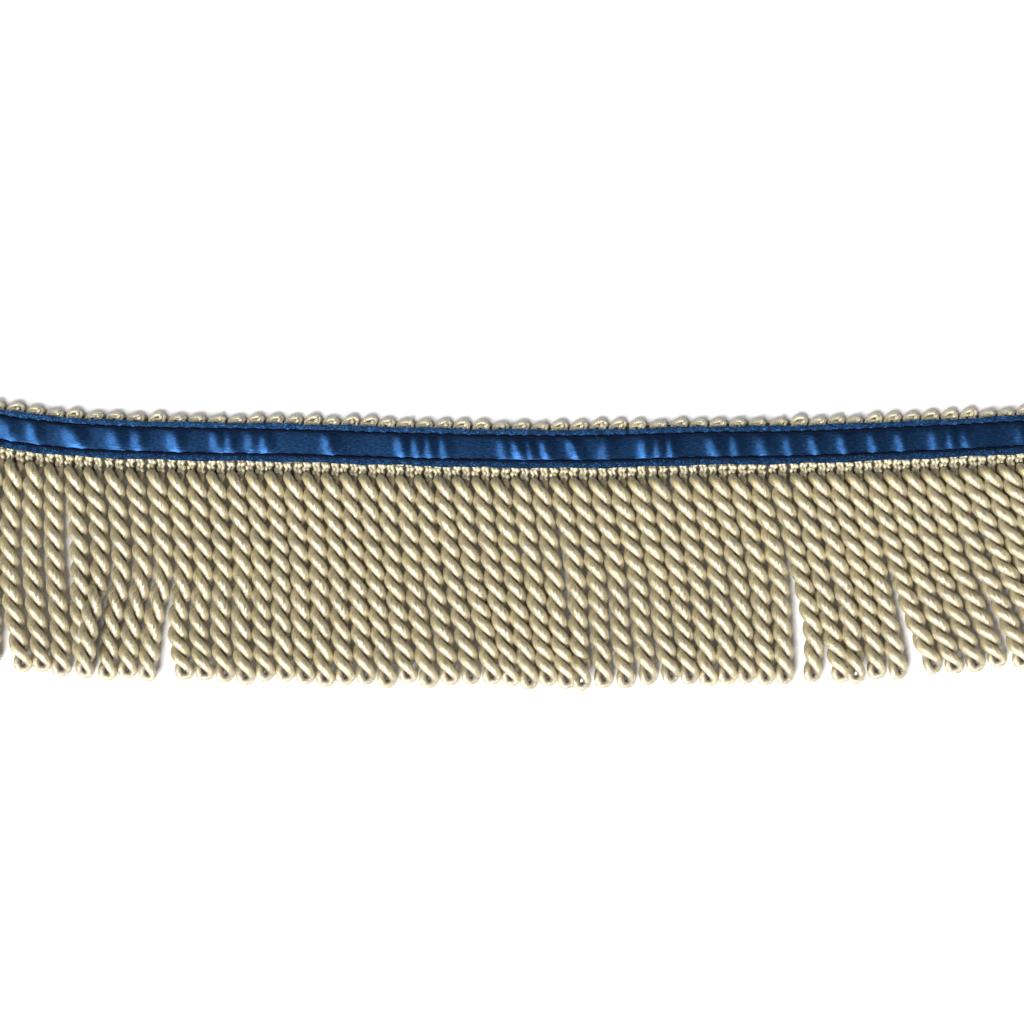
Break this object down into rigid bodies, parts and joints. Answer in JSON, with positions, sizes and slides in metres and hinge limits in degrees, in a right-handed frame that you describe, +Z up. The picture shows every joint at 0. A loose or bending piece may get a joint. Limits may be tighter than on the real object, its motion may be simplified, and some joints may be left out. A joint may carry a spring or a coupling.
{
  "type": "cord fringe trim",
  "caption": "Cut length of bullion cord fringe: a woven heading with a satin ribbon sewn over it and a skirt of twisted looped cords, lying flat with its face up.",
  "frame": {"origin": "on the heading's flat back, at the middle of the length and under the ribbon's centre line, on the surface that the trim lies on", "axes": "+X along the trim to the right, +Z up out of the trim's face, so the cords reach towards -Y"},
  "size_m": [0.2947, 0.0734, 0.0071],
  "materials": {
    "heading_yarn": "soft satin yarn, woven into small chained columns",
    "satin_ribbon": "royal blue satin, puckered along dark stitching",
    "bullion_cord": "champagne satin yarn, wound round two twisted plies"
  },
  "bodies": {
    "root": {"heading": "heading_yarn", "ribbon": "satin_ribbon", "bullion_skirt": "bullion_cord"}
  },
  "joints": []
}
